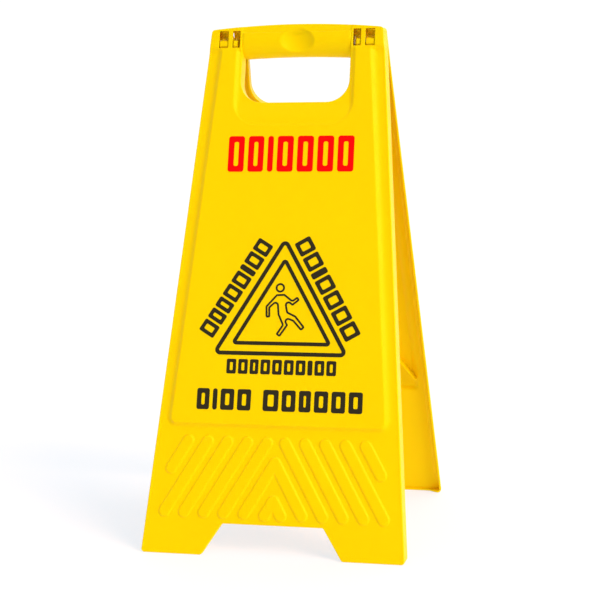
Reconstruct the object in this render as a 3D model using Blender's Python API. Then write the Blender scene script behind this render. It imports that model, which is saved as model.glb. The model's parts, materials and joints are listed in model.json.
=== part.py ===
"""Folding wet floor sign: two moulded leaves that turn on two pins under the grip.

Units are metres and +Z is up. The sign stands open on the plane Z = 0 with its origin midway between the four
feet. The front leaf faces -Y and the rear leaf faces +Y. The hinge axis runs along X.

Each leaf is drawn lying flat before it is stood up. In that flat frame X runs across the leaf, Y runs up the
leaf from its bottom edge, and Z points out of its face, with Z = 0 on the face of the thin sheet.
"""

import math

import bmesh
import bpy
from mathutils import Matrix, Vector

# The stance
OPEN_ANGLE = math.radians(31.55)
LEAN = OPEN_ANGLE / 2

# The moulded sheet
LEAF_LENGTH = 0.620
FOOT_HALF_WIDTH = 0.1517
TOP_HALF_WIDTH = 0.1039
TOP_CROWN = 0.0057
SHEET = 0.0025
EDGE_DEPTH = 0.014
EDGE_DRAFT = math.radians(8)
OPENING_DRAFT = math.radians(5.5)

# The hinge axis, in the flat frame
PIVOT_UP = 0.603
PIVOT_BACK = 0.0145
PIN_RADIUS = 0.003
FIT_GAP = 0.0003
LUG_RADIUS = 0.0075
PIN_FROM = 0.0683
PIN_TO = 0.1022
FRONT_LUGS = ((0.0777, 0.0825), (0.0952, 0.0992))
REAR_LUGS = ((0.0716, 0.0762), (0.0838, 0.0884))
FRONT_LUG_FOOT = (0.5985, 0.614)
REAR_LUG_FOOT = (0.574, 0.5955)

# The notch between the feet
NOTCH_FOOT_HALF = 0.0813
NOTCH_TOP_HALF = 0.0583
NOTCH_HEIGHT = 0.0364
FOOT_CORNER = 0.0035

# The raised panel and the raised block across the top
PANEL_RISE = 0.004
PANEL_BOTTOM = 0.1474
PANEL_BOTTOM_HALF = 0.126
PANEL_TAPER = 0.0798
PANEL_CORNER = 0.0065
PANEL_WALL = 0.0028
TOP_BLOCK_UP = 0.5965

# The hand opening, the sunk border around it and the grip over it
OPENING_HALF = 0.0654
OPENING_BOTTOM = 0.530
OPENING_CORNER = 0.027
BORDER_HALF = 0.071
BORDER_BOTTOM = 0.503
BORDER_TOP = 0.5955
BORDER_CORNER = 0.028
BORDER_RAMP = (0.505, 0.540)
GRIP_FLAT_UP = 0.610
GRIP_BOTTOM = 0.588
GRIP_TOP = 0.614
GRIP_SETBACK = 0.0001
GRIP_INTO_POST = 0.0015
SCOOP_MIDDLE = 0.5957
SCOOP_DEPTH = 0.006
SCOOP_HALF_AXES = (0.0398, 0.0488, 0.0398)
SCOOP_BLOCK_HALF = 0.026
SCOOP_BLOCK_TOP = 0.6245

# The windows that show the hinge
WINDOW_BOTTOM = 0.597
WINDOW_TOP = 0.6178
WINDOWS = ((0.0683, 0.0775), (0.0827, 0.094))

# The raised ribs below the panel, slanting at 60 degrees on both sides of the middle
RIB_RISE = 0.0017
RIB_WIDTH = 0.0128
RIB_TOP = 0.129
RIB_BOTTOM = 0.048
RIB_FIRST = 0.0104
RIB_PITCH = 0.0232
RIB_COUNT = 5
LAST_RIB_BOTTOM = 0.097
RIB_RUN = 1 / math.sqrt(3)
RIB_APEXES = ((0.1065, 0.0485), (0.0635, 0.047))

# The crossed stiffening ribs behind the panel
BRACE_CENTRE = 0.323
BRACE_SLOPE = 1.289
BRACE_THICKNESS = 0.002
BRACE_BACK = 0.008
BRACE_LOW_HALF = 0.1235
BRACE_HIGH_HALF = 0.1005

# The printed marks
INK_GAP = 0.0003
INK_THICKNESS = 0.0003
INK_RED = (0.83, 0.01, 0.01)
INK_BLACK = (0.025, 0.022, 0.008)
HEADING = (-0.0745, 0.0755, 0.445, 0.488)
LOWER_LABEL = (-0.062, 0.066, 0.207, 0.224)
BOTTOM_LABEL = (-0.095, 0.098, 0.165, 0.1895)
LABEL_CORNER = 0.002
SIDE_LABEL_HEIGHT = 0.0165
LEFT_LABEL = ((-0.0870, 0.2560), (-0.0220, 0.3610))
RIGHT_LABEL = ((0.0240, 0.3570), (0.0830, 0.2570))
OUTER_TRIANGLE = (0.3685, 0.2288, 0.083, 0.003, 0.006)
INNER_TRIANGLE = (0.3445, 0.241, 0.0605, 0.0028, 0.004)
HEAD_CENTRE = (-0.0115, 0.3025)
HEAD_RADIUS = 0.0046
TORSO = ((-0.009, 0.2925), (-0.003, 0.275))
LIMBS = (
    ((-0.009, 0.2935), (0.005, 0.290), (0.014, 0.299)),
    ((-0.010, 0.2925), (-0.020, 0.283), (-0.018, 0.271)),
    ((-0.0025, 0.274), (0.013, 0.269), (0.026, 0.258)),
    ((-0.004, 0.274), (0.005, 0.262), (-0.003, 0.250)),
)
TORSO_WIDTH = 0.0085
LIMB_WIDTH = 0.0048

YELLOW = (1.0, 0.69, 0.0)

# How far a cutter passes the surface that it cuts
OVER = 0.02


def clear_scene():
    for thing in list(bpy.data.objects):
        bpy.data.objects.remove(thing, do_unlink=True)


def new_collection(name):
    collection = bpy.data.collections.new(name)
    bpy.context.scene.collection.children.link(collection)
    return collection


def new_material(name, colour, roughness, metallic=0.0):
    material = bpy.data.materials.new(name)
    material.use_nodes = True
    shader = material.node_tree.nodes["Principled BSDF"]
    shader.inputs["Base Color"].default_value = (*colour, 1)
    shader.inputs["Roughness"].default_value = roughness
    shader.inputs["Metallic"].default_value = metallic
    return material


def half_width(up):
    """Half the leaf's width at a distance up from its bottom edge."""
    return FOOT_HALF_WIDTH + (TOP_HALF_WIDTH - FOOT_HALF_WIDTH) * up / LEAF_LENGTH


def arc(centre, radius, start, end, steps):
    """Points along an arc, with its angles in degrees."""
    angles = [math.radians(start + (end - start) * i / steps) for i in range(steps + 1)]
    return [(centre[0] + radius * math.cos(a), centre[1] + radius * math.sin(a)) for a in angles]


def rounded(corners, steps=6):
    """An outline from (x, y, radius) corners, with an arc at each corner whose radius isn't zero."""
    outline = []
    for i, (x, y, radius) in enumerate(corners):
        here = Vector((x, y))
        if not radius:
            outline.append((x, y))
            continue
        back = (Vector(corners[i - 1][:2]) - here).normalized()
        ahead = (Vector(corners[(i + 1) % len(corners)][:2]) - here).normalized()
        half_angle = back.angle(ahead) / 2
        centre = here + (back + ahead).normalized() * radius / math.sin(half_angle)
        first = here + back * radius / math.tan(half_angle) - centre
        last = here + ahead * radius / math.tan(half_angle) - centre
        sweep = first.angle_signed(last)
        for step in range(steps + 1):
            turned = Matrix.Rotation(-sweep * step / steps, 2) @ first
            outline.append(tuple(centre + turned))
    return outline


def offset(outline, distance):
    """The outline moved by a distance to its left, which is inwards on an anticlockwise outline."""
    moved = []
    for i, corner in enumerate(outline):
        here = Vector(corner)
        before = (here - Vector(outline[i - 1])).normalized()
        after = (Vector(outline[(i + 1) % len(outline)]) - here).normalized()
        left_before = Vector((-before.y, before.x))
        left_after = Vector((-after.y, after.x))
        miter = (left_before + left_after) / (1 + left_before.dot(left_after))
        moved.append(tuple(here + miter * distance))
    return moved


def hull(points):
    """The convex outline around some points, anticlockwise."""
    points = sorted(set(points))
    sides = []
    for ordered in (points, points[::-1]):
        chain = []
        for point in ordered:
            while len(chain) > 1:
                run = Vector(chain[-1]) - Vector(chain[-2])
                turn = Vector(point) - Vector(chain[-2])
                if run.x * turn.y - run.y * turn.x > 0:
                    break
                chain.pop()
            chain.append(point)
        sides += chain[:-1]
    return sides


def rectangle(left, right, bottom, top, radius=0.0):
    corners = [(left, bottom), (right, bottom), (right, top), (left, top)]
    return rounded([(x, y, radius) for x, y in corners])


def leaf_outline():
    """The leaf's outer edge: two feet with a notch between them, tapered sides and a crowned top."""
    right = [
        (NOTCH_TOP_HALF, NOTCH_HEIGHT, 0),
        (NOTCH_FOOT_HALF, 0, FOOT_CORNER),
        (FOOT_HALF_WIDTH, 0, FOOT_CORNER),
    ]
    left = [(-x, y, radius) for x, y, radius in reversed(right)]
    return rounded(right + [(*point, 0) for point in crown()] + left)


def crown():
    """The top edge from right to left, a shallow arch."""
    steps = 12
    points = []
    for step in range(steps + 1):
        across = 1 - 2 * step / steps
        points.append((TOP_HALF_WIDTH * across, LEAF_LENGTH + TOP_CROWN * (1 - across * across)))
    return points


def panel_half(up):
    return PANEL_BOTTOM_HALF - PANEL_TAPER * (up - PANEL_BOTTOM)


def panel_outline():
    """The raised area: the print panel, joined to the full-width block across the top."""
    right = [
        (PANEL_BOTTOM_HALF, PANEL_BOTTOM, PANEL_CORNER),
        (panel_half(TOP_BLOCK_UP), TOP_BLOCK_UP, 0),
        (half_width(TOP_BLOCK_UP), TOP_BLOCK_UP, 0),
    ]
    left = [(-x, y, radius) for x, y, radius in reversed(right)]
    return rounded(right + [(*point, 0) for point in crown()] + left)


def panel_opening():
    """The raised area again, but passing the leaf's edges at the top, for cutting around it."""
    past_side = FOOT_HALF_WIDTH
    past_top = LEAF_LENGTH + TOP_CROWN + OVER
    right = [
        (PANEL_BOTTOM_HALF, PANEL_BOTTOM, PANEL_CORNER),
        (panel_half(TOP_BLOCK_UP), TOP_BLOCK_UP, 0),
        (past_side, TOP_BLOCK_UP, 0),
        (past_side, past_top, 0),
    ]
    left = [(-x, y, radius) for x, y, radius in reversed(right)]
    return rounded(right + left)


def slot_outline(half, bottom, corner, top):
    """A slot with rounded bottom corners and a straight top."""
    return rounded([(-half, bottom, corner), (half, bottom, corner), (half, top, 0), (-half, top, 0)])


def mesh_object(name, mesh):
    thing = bpy.data.objects.new(name, mesh)
    cutters.objects.link(thing)
    return thing


def plate(outlines, low, high):
    """A flat solid between two heights. The first outline is its edge and the others are its holes."""
    curve = bpy.data.curves.new("outline", "CURVE")
    curve.dimensions = "2D"
    curve.fill_mode = "BOTH"
    curve.extrude = (high - low) / 2
    for outline in outlines:
        spline = curve.splines.new("POLY")
        spline.points.add(len(outline) - 1)
        for point, (x, y) in zip(spline.points, outline):
            point.co = (x, y, 0, 1)
        spline.use_cyclic_u = True
    drawing = mesh_object("outline", curve)
    graph = bpy.context.evaluated_depsgraph_get()
    mesh = bpy.data.meshes.new_from_object(drawing.evaluated_get(graph))
    bpy.data.objects.remove(drawing)
    solid = bmesh.new()
    solid.from_mesh(mesh)
    bmesh.ops.remove_doubles(solid, verts=solid.verts, dist=1e-6)
    bmesh.ops.recalc_face_normals(solid, faces=solid.faces)
    bmesh.ops.translate(solid, verts=solid.verts, vec=(0, 0, (low + high) / 2))
    solid.to_mesh(mesh)
    solid.free()
    return mesh_object("plate", mesh)


def drafted(outlines, drafts, low, high):
    """A plate whose outlines have a draft. A positive one makes the outline grow below Z = 0."""
    solid = plate(outlines, low, high)
    places = []
    for outline, draft in zip(outlines, drafts):
        at_low = offset(outline, low * math.tan(draft))
        at_high = offset(outline, high * math.tan(draft))
        places += [(Vector(point), at_low[i], at_high[i]) for i, point in enumerate(outline)]
    for vertex in solid.data.vertices:
        here = vertex.co.xy
        _, below, above = min(places, key=lambda place: (place[0] - here).length)
        vertex.co.xy = below if vertex.co.z < (low + high) / 2 else above
    return solid


def side_plate(outline, left, right):
    """A solid whose outline is drawn in the side view, as (up, out) points, between two places across."""
    solid = plate([outline], left, right)
    up_out_across = Matrix(((0, 0, 1, 0), (1, 0, 0, 0), (0, 1, 0, 0), (0, 0, 0, 1)))
    solid.data.transform(up_out_across)
    return solid


def rod(radius, left, right, up, out, segments=32):
    """A round bar along X."""
    solid = bmesh.new()
    bmesh.ops.create_cone(
        solid,
        cap_ends=True,
        segments=segments,
        radius1=radius,
        radius2=radius,
        depth=right - left,
        matrix=Matrix.Translation(((left + right) / 2, up, out)) @ Matrix.Rotation(math.pi / 2, 4, "Y"),
    )
    mesh = bpy.data.meshes.new("rod")
    solid.to_mesh(mesh)
    solid.free()
    return mesh_object("rod", mesh)


def combine(base, others, operation):
    """Cuts, joins or intersects the base with each of the other solids, which are used up."""
    for other in others:
        step = base.modifiers.new(operation.lower(), "BOOLEAN")
        step.operation = operation
        step.solver = "EXACT"
        step.object = other
    bpy.context.view_layer.update()
    graph = bpy.context.evaluated_depsgraph_get()
    mesh = bpy.data.meshes.new_from_object(base.evaluated_get(graph))
    base.modifiers.clear()
    base.data = mesh
    for other in others:
        bpy.data.objects.remove(other)
    return base


def both_sides(make, spans):
    """Calls make(left, right) for each span across, and for its mirror on the other side."""
    made = []
    for near, far in spans:
        made.append(make(near, far))
        made.append(make(-far, -near))
    return made


def sheet_with_panel():
    """The thin sheet with its returned edge, the raised panel and the sunk border around the opening."""
    edge = leaf_outline()
    panel = panel_outline()
    border = slot_outline(BORDER_HALF, BORDER_BOTTOM, BORDER_CORNER, BORDER_TOP)
    wall_outside = slot_outline(
        OPENING_HALF + SHEET, OPENING_BOTTOM - SHEET, OPENING_CORNER + SHEET, GRIP_FLAT_UP + SHEET
    )
    around = rectangle(-2 * FOOT_HALF_WIDTH, 2 * FOOT_HALF_WIDTH, -OVER, LEAF_LENGTH + 2 * OVER)
    leaf = drafted([edge], [EDGE_DRAFT], -EDGE_DEPTH, PANEL_RISE)
    inside = [offset(edge, SHEET), wall_outside]
    pocket = drafted(inside, [EDGE_DRAFT, -OPENING_DRAFT], -EDGE_DEPTH - OVER, -SHEET)
    cuts = [
        plate([around, panel_opening()], 0, PANEL_RISE + OVER),
        combine(plate([border], 0, PANEL_RISE + OVER), [border_ramp()], "DIFFERENCE"),
        combine(pocket, [foot_floor()], "DIFFERENCE"),
        plate([offset(panel, PANEL_WALL), offset(border, -SHEET)], -EDGE_DEPTH - OVER, PANEL_RISE - SHEET),
    ]
    return combine(leaf, cuts, "DIFFERENCE")


def border_ramp():
    """What stays of the panel below the opening, where the border rises to meet the panel."""
    start, end = BORDER_RAMP
    past = (end - start) / 4
    slope = [(end + past, -PANEL_RISE / 4), (start - past, PANEL_RISE * 5 / 4)]
    below = [(start - OVER, PANEL_RISE * 5 / 4), (start - OVER, -PANEL_RISE / 4)]
    return side_plate(slope + below, -2 * BORDER_HALF, 2 * BORDER_HALF)


def foot_floor():
    """The returned edge under the feet. It is thick enough there for the slanted cut of the undersides."""
    thickness = SHEET + EDGE_DEPTH * math.tan(LEAN)
    wide = 2 * FOOT_HALF_WIDTH
    return plate([rectangle(-wide, wide, -OVER, thickness)], -2 * EDGE_DEPTH - OVER, PANEL_RISE)


def grip_profile(inside, top):
    """The grip's side view, as (up, out) points: flat from the top, then a quarter ellipse to its bottom."""
    front = PANEL_RISE - GRIP_SETBACK - inside
    drop = GRIP_FLAT_UP - GRIP_BOTTOM - inside
    steps = 10
    profile = [(top, front)]
    for step in range(steps + 1):
        angle = math.pi / 2 * step / steps
        out = -EDGE_DEPTH + (front + EDGE_DEPTH) * math.cos(angle)
        profile.append((GRIP_FLAT_UP - drop * math.sin(angle), out))
    return profile


def grip_shell():
    """The grip's wall, as wide as the opening."""
    half = OPENING_HALF + GRIP_INTO_POST
    return side_plate(grip_profile(0, GRIP_TOP) + grip_profile(SHEET, GRIP_TOP)[::-1], -half, half)


def scoop_backing():
    """The wall behind the thumb scoop."""
    block = grip_profile(0, SCOOP_BLOCK_TOP) + [(SCOOP_BLOCK_TOP, -EDGE_DEPTH)]
    solid = side_plate(block, -SCOOP_BLOCK_HALF, SCOOP_BLOCK_HALF)
    return combine(solid, [scoop(SHEET)], "INTERSECT")


def scoop(extra):
    """The large ellipsoid that presses the thumb scoop into the grip."""
    across, up, out = SCOOP_HALF_AXES
    sizes = Matrix.Diagonal((across + extra, up + extra, out + extra, 1))
    place = Matrix.Translation((0, SCOOP_MIDDLE, PANEL_RISE - SCOOP_DEPTH + out))
    solid = bmesh.new()
    bmesh.ops.create_uvsphere(solid, u_segments=48, v_segments=32, radius=1, matrix=place @ sizes)
    mesh = bpy.data.meshes.new("scoop")
    solid.to_mesh(mesh)
    solid.free()
    return mesh_object("scoop", mesh)


def capsule(start, end, width, steps=8):
    """A straight bar with round ends."""
    start = Vector(start)
    end = Vector(end)
    along = math.degrees(math.atan2(end.y - start.y, end.x - start.x))
    first = arc(start, width / 2, along + 90, along + 270, steps)
    return first + arc(end, width / 2, along - 90, along + 90, steps)


def ribs():
    """The raised slanting ribs, and the pointed ones in the middle."""
    low = -SHEET / 2
    made = []
    for i in range(RIB_COUNT):
        bottom = LAST_RIB_BOTTOM if i == RIB_COUNT - 1 else RIB_BOTTOM
        top_across = RIB_FIRST + RIB_PITCH * i
        bottom_across = top_across + (RIB_TOP - bottom) * RIB_RUN
        for side in (1, -1):
            bar = capsule((side * top_across, RIB_TOP), (side * bottom_across, bottom), RIB_WIDTH)
            made.append(plate([bar], low, RIB_RISE))
    for apex, bottom in RIB_APEXES:
        reach = (apex - bottom) * RIB_RUN
        right = plate([capsule((0, apex), (reach, bottom), RIB_WIDTH)], low, RIB_RISE)
        left = plate([capsule((0, apex), (-reach, bottom), RIB_WIDTH)], low, RIB_RISE)
        made.append(combine(right, [left], "UNION"))
    return made


def brace():
    """The two crossed ribs behind the panel. Their ends are let into the panel's side walls."""
    bars = []
    for side in (1, -1):
        low = Vector((-side * BRACE_LOW_HALF, BRACE_CENTRE - BRACE_SLOPE * BRACE_LOW_HALF))
        high = Vector((side * BRACE_HIGH_HALF, BRACE_CENTRE + BRACE_SLOPE * BRACE_HIGH_HALF))
        along = (high - low).normalized()
        across = Vector((-along.y, along.x)) * BRACE_THICKNESS / 2
        corners = [low - across, high - across, high + across, low + across]
        bars.append(plate([[tuple(corner) for corner in corners]], -BRACE_BACK, PANEL_RISE - SHEET / 2))
    return combine(bars[0], bars[1:], "UNION")


def lug(foot, left, right):
    """A hinge lug: a rib from the back of the sheet to a round eye on the hinge axis."""
    eye = arc((PIVOT_UP, -PIVOT_BACK), LUG_RADIUS, 0, 345, 23)
    inside_sheet = PANEL_RISE - SHEET / 2
    feet = [(foot[0], inside_sheet), (foot[1], inside_sheet)]
    return side_plate(hull(eye + feet), left, right)


def foot_cutter():
    """What lies under the floor when the leaf stands at its lean."""
    solid = plate([rectangle(-2 * FOOT_HALF_WIDTH, 2 * FOOT_HALF_WIDTH, -OVER, 0)], -2 * OVER, 2 * OVER)
    solid.data.transform(Matrix.Rotation(LEAN, 4, "X"))
    return solid


def middle_cutter():
    """What lies past the upright middle plane of the open sign, where the other leaf is."""
    wide = 2 * FOOT_HALF_WIDTH
    solid = plate([rectangle(-wide, wide, -OVER, 2 * OVER)], -2 * OVER, FIT_GAP)
    on_axis = Matrix.Translation((0, PIVOT_UP, -PIVOT_BACK))
    solid.data.transform(on_axis @ Matrix.Rotation(LEAN, 4, "X"))
    return solid


def moulded_leaf(name, lugs, lug_foot):
    """A whole leaf in the flat frame, with its own hinge lugs."""
    leaf = sheet_with_panel()
    opening = slot_outline(OPENING_HALF, OPENING_BOTTOM, OPENING_CORNER, GRIP_FLAT_UP)
    holes = [drafted([opening], [-OPENING_DRAFT], -EDGE_DEPTH - OVER, PANEL_RISE + OVER)]
    for span in WINDOWS:
        for left, right in (span, (-span[1], -span[0])):
            window = rectangle(left, right, WINDOW_BOTTOM, WINDOW_TOP)
            holes.append(plate([window], -EDGE_DEPTH - OVER, PANEL_RISE + OVER))
    combine(leaf, holes, "DIFFERENCE")
    combine(leaf, ribs() + [brace(), grip_shell(), scoop_backing()], "UNION")
    combine(leaf, [scoop(0), foot_cutter(), middle_cutter()], "DIFFERENCE")
    combine(leaf, both_sides(lambda left, right: lug(lug_foot, left, right), lugs), "UNION")
    bore = rod(PIN_RADIUS + FIT_GAP, -PIN_TO, PIN_TO, PIVOT_UP, -PIVOT_BACK)
    return combine(leaf, [bore], "DIFFERENCE")


def finished(solid, name, material, parent):
    """Names a solid, gives it its material and hangs it on the empty at the hinge axis."""
    solid.name = name
    solid.data.name = name
    solid.data.materials.clear()
    solid.data.materials.append(material)
    solid.parent = parent
    solid.location = (0, -PIVOT_UP, PIVOT_BACK)
    cutters.objects.unlink(solid)
    sign.objects.link(solid)
    solid.data.shade_smooth()
    solid.data.set_sharp_from_angle(angle=math.radians(30))
    return solid


def leaf_stand(name, turn):
    """The empty on the hinge axis that stands a flat leaf up at its lean, facing -Y before the turn."""
    stand = bpy.data.objects.new(name, None)
    height = math.cos(LEAN) * PIVOT_UP - math.sin(LEAN) * PIVOT_BACK
    stand.location = (0, 0, height)
    stand.rotation_euler = (math.pi / 2 - LEAN, 0, turn)
    sign.objects.link(stand)
    return stand


def ink(outlines):
    """A film of ink on the raised panel."""
    low = PANEL_RISE + INK_GAP
    return plate(outlines, low, low + INK_THICKNESS)


def ink_triangle(apex, base, half, stroke, corner):
    """A triangle drawn as a line of even width with rounded corners."""
    outside = rounded([(-half, base, corner), (half, base, corner), (0, apex, corner)], 5)
    return ink([outside, offset(outside, stroke)])


def ink_slanted_label(start, end):
    """A label bar along one side of the triangle."""
    across = (Vector(end) - Vector(start)).normalized()
    side = Vector((-across.y, across.x)) * SIDE_LABEL_HEIGHT / 2
    corners = [Vector(start) - side, Vector(end) - side, Vector(end) + side, Vector(start) + side]
    return ink([rounded([(*corner, LABEL_CORNER) for corner in corners])])


def ink_figure():
    """The slipping figure's body: a torso and four bent limbs in one film."""
    low = PANEL_RISE + INK_GAP
    high = low + INK_THICKNESS
    steps = 4
    body = plate([capsule(*TORSO, TORSO_WIDTH, steps)], low, high)
    bars = []
    for limb in LIMBS:
        for start, end in zip(limb, limb[1:]):
            bars.append(plate([capsule(start, end, LIMB_WIDTH, steps)], low, high))
    return combine(body, bars, "UNION")


def printed_marks(side, stand):
    """The films of ink on one leaf. Plain bars stand for the lines of text."""
    red = new_material(side + "_red_ink", INK_RED, 0.4)
    black = new_material(side + "_black_ink", INK_BLACK, 0.4)
    marks = {
        "heading_bar": (ink([rectangle(*HEADING, LABEL_CORNER)]), red),
        "triangle_outer": (ink_triangle(*OUTER_TRIANGLE), black),
        "triangle_inner": (ink_triangle(*INNER_TRIANGLE), black),
        "figure_head": (ink([arc(HEAD_CENTRE, HEAD_RADIUS, 0, 345, 23)]), black),
        "figure_body": (ink_figure(), black),
        "left_label": (ink_slanted_label(*LEFT_LABEL), black),
        "right_label": (ink_slanted_label(*RIGHT_LABEL), black),
        "lower_label": (ink([rectangle(*LOWER_LABEL, LABEL_CORNER)]), black),
        "bottom_label": (ink([rectangle(*BOTTOM_LABEL, LABEL_CORNER)]), black),
    }
    for name, (film, material) in marks.items():
        finished(film, f"{side}_print_{name}", material, stand)


clear_scene()
sign = new_collection("wet_floor_sign")
cutters = new_collection("cutters")
cutters.hide_render = True

front_stand = leaf_stand("front_hinge_axis", 0)
rear_stand = leaf_stand("rear_hinge_axis", math.pi)
front_leaf = moulded_leaf("front_leaf", FRONT_LUGS, FRONT_LUG_FOOT)
finished(front_leaf, "front_leaf", new_material("front_yellow", YELLOW, 0.35), front_stand)
rear_leaf = moulded_leaf("rear_leaf", REAR_LUGS, REAR_LUG_FOOT)
finished(rear_leaf, "rear_leaf", new_material("rear_yellow", YELLOW, 0.35), rear_stand)
for side_name, left, right in (("left", -PIN_TO, -PIN_FROM), ("right", PIN_FROM, PIN_TO)):
    pin = rod(PIN_RADIUS, left, right, PIVOT_UP, -PIVOT_BACK)
    finished(pin, "hinge_pin_" + side_name, new_material(side_name + "_pin", YELLOW, 0.4), front_stand)
printed_marks("front", front_stand)
printed_marks("rear", rear_stand)
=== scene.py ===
"""Looks of the folding wet floor sign: two moulded leaves, their grips, hinge and printed marks.

Units are metres. Each leaf is drawn in its flat frame, as in the CAD model: x across the leaf, s up it from
its bottom edge and n out of its face, with n = 0 on the face of the thin sheet. A leaf's matrix then stands
it up.
"""

import json
import math

import bmesh
import bpy
import numpy as np
from mathutils import Matrix, Vector
from mathutils.geometry import delaunay_2d_cdt


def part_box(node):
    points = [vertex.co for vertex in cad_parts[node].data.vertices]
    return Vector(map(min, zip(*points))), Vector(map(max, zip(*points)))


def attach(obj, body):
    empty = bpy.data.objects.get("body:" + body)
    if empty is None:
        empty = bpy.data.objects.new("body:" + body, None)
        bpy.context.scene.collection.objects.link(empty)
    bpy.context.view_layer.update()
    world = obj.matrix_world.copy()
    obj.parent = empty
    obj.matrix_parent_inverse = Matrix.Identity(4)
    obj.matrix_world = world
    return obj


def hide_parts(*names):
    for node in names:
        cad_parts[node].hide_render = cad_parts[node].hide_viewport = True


# The CAD model's driving sizes
LEAF_LENGTH = 0.620
FOOT_HALF_WIDTH = 0.1517
TOP_HALF_WIDTH = 0.1039
TOP_CROWN = 0.0057
SHEET = 0.0025
EDGE_DEPTH = 0.014
EDGE_DRAFT = math.radians(8)
OPENING_DRAFT = math.radians(5.5)
PIVOT_UP = 0.603
PIVOT_BACK = 0.0145
PIN_RADIUS = 0.003
LUG_RADIUS = 0.0075
FRONT_LUGS = ((0.0777, 0.0825), (0.0952, 0.0992))
FRONT_LUG_FOOT = (0.5985, 0.614)
REAR_LUG_FOOT = (0.574, 0.5955)
NOTCH_FOOT_HALF = 0.0813
NOTCH_TOP_HALF = 0.0583
NOTCH_HEIGHT = 0.0364
FOOT_CORNER = 0.0035
PANEL_RISE = 0.004
PANEL_BOTTOM = 0.1474
PANEL_BOTTOM_HALF = 0.126
PANEL_TAPER = 0.0798
PANEL_CORNER = 0.0065
PANEL_WALL = 0.0028
TOP_BLOCK_UP = 0.5965
OPENING_HALF = 0.0654
OPENING_BOTTOM = 0.530
OPENING_CORNER = 0.027
BORDER_HALF = 0.071
BORDER_BOTTOM = 0.503
BORDER_TOP = 0.5955
BORDER_CORNER = 0.028
GRIP_FLAT_UP = 0.610
GRIP_BOTTOM = 0.588
SCOOP_MIDDLE = 0.5957
WINDOW_BOTTOM = 0.597
WINDOW_TOP = 0.6178
WINDOWS = ((0.0683, 0.0775), (0.0827, 0.094))
RIB_WIDTH = 0.0128
RIB_TOP = 0.129
RIB_BOTTOM = 0.048
RIB_FIRST = 0.0104
RIB_PITCH = 0.0232
RIB_COUNT = 5
LAST_RIB_BOTTOM = 0.097
RIB_RUN = 1 / math.sqrt(3)
RIB_APEXES = ((0.1065, 0.0485), (0.0635, 0.047))
BRACE_CENTRE = 0.323
BRACE_SLOPE = 1.289
BRACE_BACK = 0.008
BRACE_LOW_HALF = 0.1235
BRACE_HIGH_HALF = 0.1005

# Finer shape than the CAD model's, or fitted more closely to the photograph
NOTCH_CORNER = 0.003
TOP_CORNER = 0.0045
TOP_BLOCK_CORNER = 0.005
BORDER_TOP_CORNER = 0.003
OPENING_TOP_GAP = 0.0003
SCOOP_DEPTH = 0.0082
SCOOP_HALF_AXES = (0.0347, 0.0397, 0.0335)
SCOOP_ACROSS = 0.0014
SCOOP_BLEND = 0.0003
WALL_REACH = 0.0095
WALL_RISE = 0.0032
COVE_POWER = 2.6
COVE_END = 0.0006
LOW_WALL_REACH = 0.0045
LOW_WALL_RISE = 0.002
LOW_WALL_RUN = 0.012
WALL_BLEND = 0.0018
RAMP_BLEND = 0.001
PANEL_BLEND = 0.0004
INNER_BLEND = 0.0006
RIB_RISE = 0.0016
RIB_SLOPE = 0.0029
LIP_RISE = 0.0009
LIP_WIDTH = 0.0037
NOTCH_LIP_RISE = 0.0005
NOTCH_LIP_WIDTH = 0.0028
OPENING_LIP_RISE = 0.0004
OPENING_LIP_WIDTH = 0.0028
CREASE_UP = 0.6145
CREASE_BELOW = 0.0009
CREASE_RUN = 0.0016
CROWN_DROP = 0.0008
FACE_INSET = 0.0016
OPENING_INSET = 0.0013
WINDOW_INSET = 0.00045
RIM_ROUND = 0.0007
EDGE_FLARE = EDGE_DEPTH * math.tan(EDGE_DRAFT)
THIN_EDGE = (0.59, 0.0020)
THIN_OPENING = (0.588, 0.0016)
FILLET = 0.008
SMALL_FILLET = 0.0003
FOOT_WALL = 0.0052
OPENING_TOP_DEPTH = 0.001
WINDOW_CORNER = 0.0007
# Where each of these starts to change, and over what length
RAMP = (0.504, 0.034)
OPENING_LIP_END = (0.585, 0.010)
CROWN_DROP_END = (0.0645, 0.003)
LOW_FILLET = (0.006, 0.02)
HIGH_FILLET = (0.560, 0.025)
OPENING_FILLET = (0.562, 0.024)
FOOT_WALL_ASIDE = (0.0035, 0.014)
FOOT_WALL_UP = (NOTCH_HEIGHT + 0.002, 0.004)
MIDDLE_GAP = 0.0005
GRIP_HALF = OPENING_HALF + 0.0009
GRIP_ARCH = 0.0018
GRIP_SHOULDER = 0.0012
GRIP_SHOULDER_RUN = 0.0018
GRIP_TOP = CREASE_UP + CREASE_BELOW
GRIP_TOP_ROUND = 0.0007
GRIP_RIM = 0.0006
GRIP_RIM_ROUND = 0.0002
GRIP_END_STEPS = (0, 0.0004, 0.0008, 0.0012, 0.0018)
REAR_LUGS = ((0.0690, 0.0770), (0.0834, 0.0945))
LUG_BEVEL = 0.0005
BARREL_RADIUS = 0.0119
BARREL_FRONT = 0.0169
BARREL_FRONT_ARC = (-70, -49.4)
BARREL_BACK_ARC = (-22.4, 242)
BARREL_ENDS = (0.0718, 0.0935)
FIN_CORNER = 0.0012
PIN_CHAMFER = ((0, 0.0022), (0.0003, 0.0027), (0.0009, PIN_RADIUS))
BRACE_ROOT_HALF = 0.0013
BRACE_EDGE_HALF = 0.0009
BRACE_EDGE_CORNER = 0.0005
KNUCKLE_FIN = ((0.5985, -0.018), (0.6205, -0.0092), (0.6205, -0.004), (0.5985, -0.004))

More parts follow.
